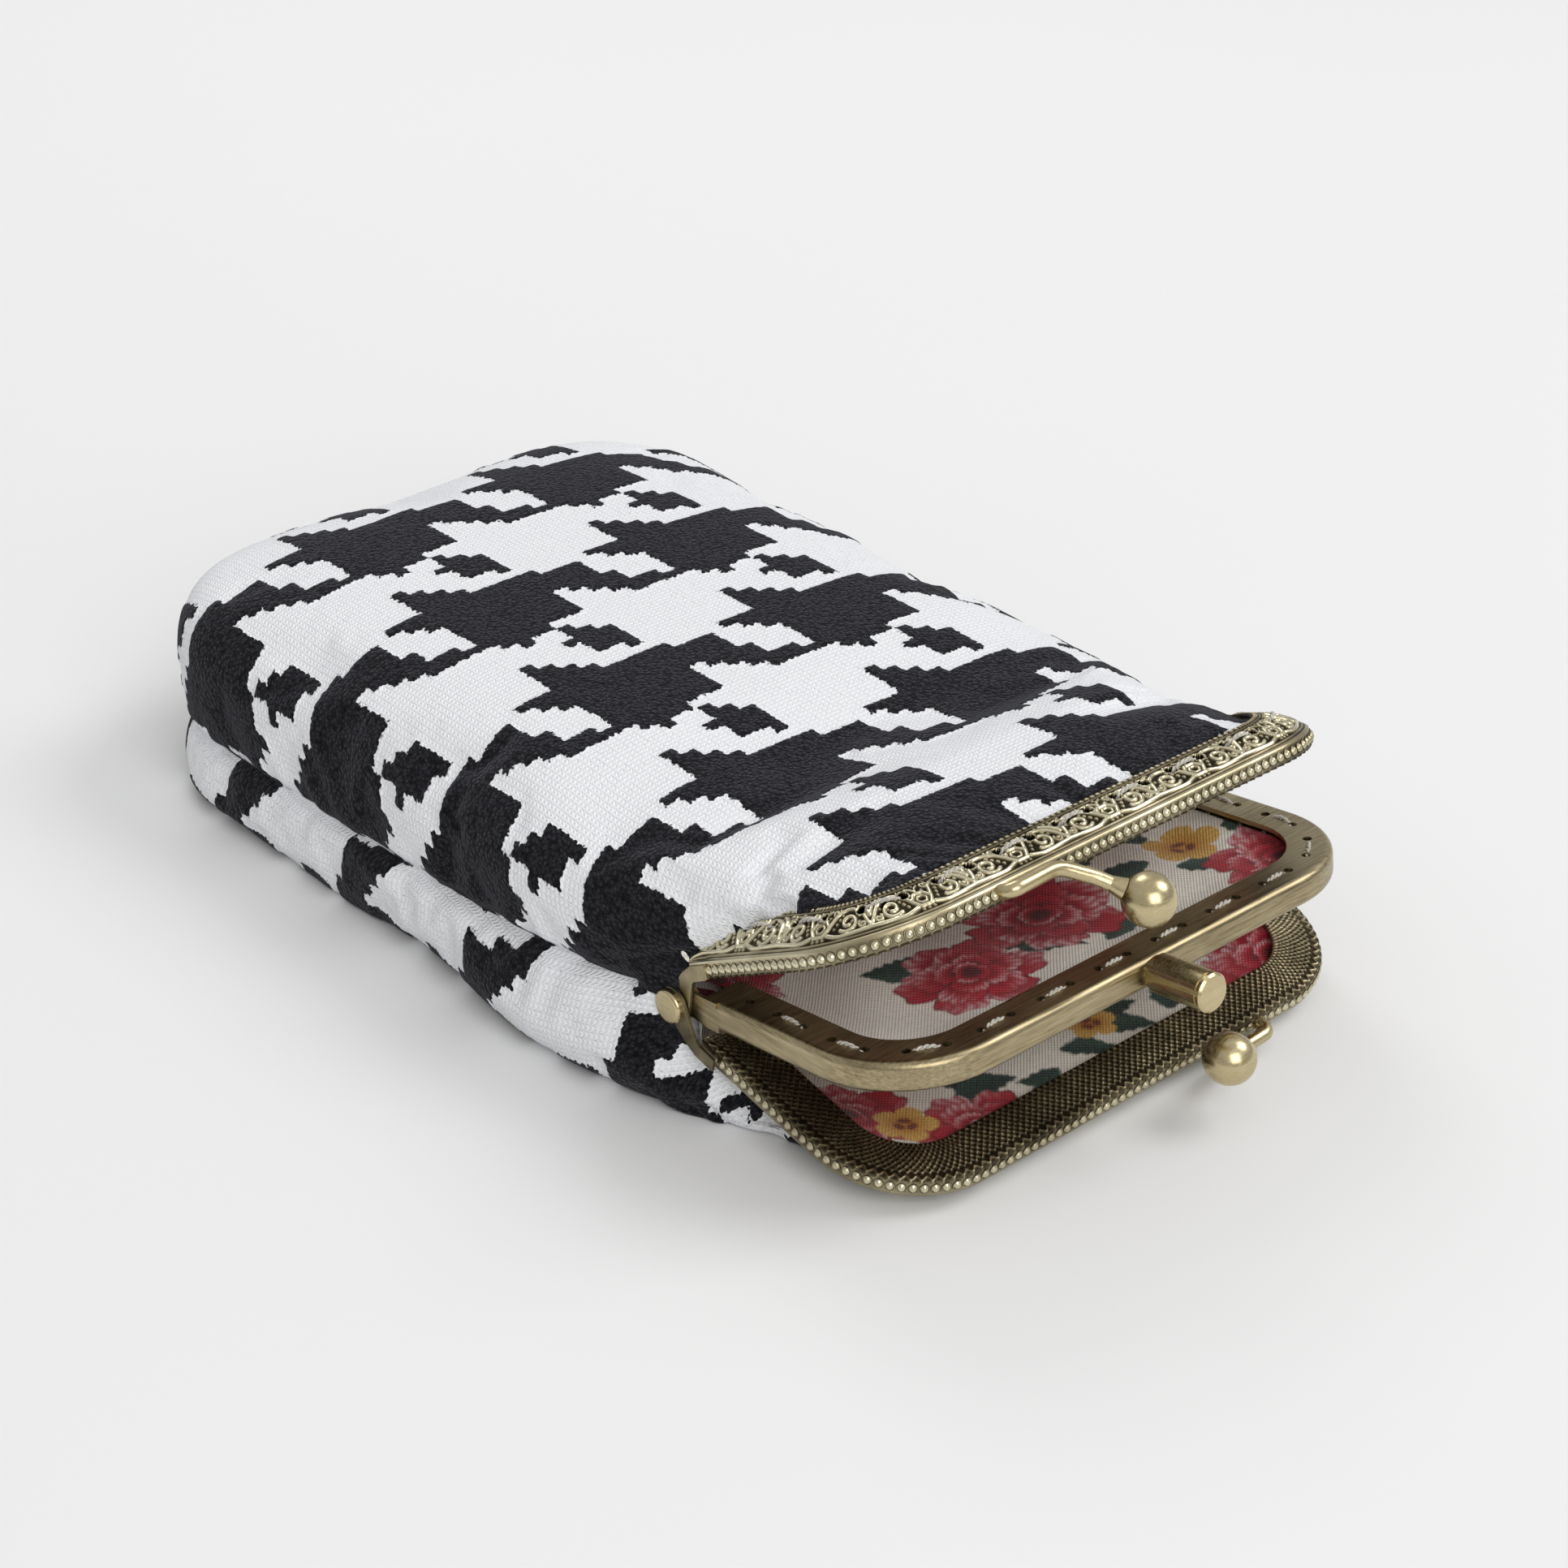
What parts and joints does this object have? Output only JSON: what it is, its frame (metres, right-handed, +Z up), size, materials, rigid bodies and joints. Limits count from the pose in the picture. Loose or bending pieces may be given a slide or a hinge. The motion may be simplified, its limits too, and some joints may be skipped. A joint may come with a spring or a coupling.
{
  "type": "kiss-lock coin purse",
  "caption": "Padded fabric pouch with two pockets, lying half open on three hinged brass frames that close with a ball-and-post kiss lock.",
  "frame": {"origin": "on the surface the pouch lies on, under the middle of its box", "axes": "+Z up, mouth and clasp towards -Y, closed end towards +Y, hinge axis along X"},
  "size_m": [0.122, 0.2178, 0.0493],
  "materials": {
    "ornate_brass": "antiqued, embossed scrollwork with dark recesses",
    "plain_brass": "brushed antique brass",
    "thread": "twisted sewing thread",
    "knit_fabric": "black and white stepped pattern, knitted",
    "fleece": "soft fleece interlining",
    "printed_lining": "cream plain weave with printed flowers"
  },
  "bodies": {
    "root": {"lower_frame": "ornate_brass", "right_hinge_rivet": "plain_brass", "left_hinge_rivet": "plain_brass", "lower_clasp_arm": "plain_brass", "lower_clasp_ball": "plain_brass", "lower_frame_stitches": "thread", "upper_outer_panel": "knit_fabric", "upper_padding": "fleece", "upper_pocket_lining": "printed_lining", "lower_outer_panel": "knit_fabric", "lower_padding": "fleece", "lower_pocket_lining": "printed_lining", "upper_pocket_divider": "printed_lining", "lower_pocket_divider": "printed_lining"},
    "middle_leaf": {"middle_frame": "plain_brass", "clasp_post": "plain_brass", "middle_frame_stitches": "thread", "upper_divider_mouth": "printed_lining", "lower_divider_mouth": "printed_lining"},
    "upper_leaf": {"upper_frame": "ornate_brass", "upper_clasp_arm": "plain_brass", "upper_clasp_ball": "plain_brass", "upper_frame_stitches": "thread", "upper_panel_mouth": "knit_fabric", "upper_padding_mouth": "fleece", "upper_lining_mouth": "printed_lining"}
  },
  "joints": [
    {"name": "middle_frame_hinge", "type": "hinge", "parent": "root", "child": "middle_leaf", "pos_m": [0, -0.04611, 0.0181], "axis": [-1, 0, 0], "range_deg": [-19.4, 30]},
    {"name": "upper_frame_hinge", "type": "hinge", "parent": "middle_leaf", "child": "upper_leaf", "pos_m": [0, -0.04611, 0.0181], "axis": [-1, 0, 0], "range_deg": [-20.6, 40]}
  ]
}
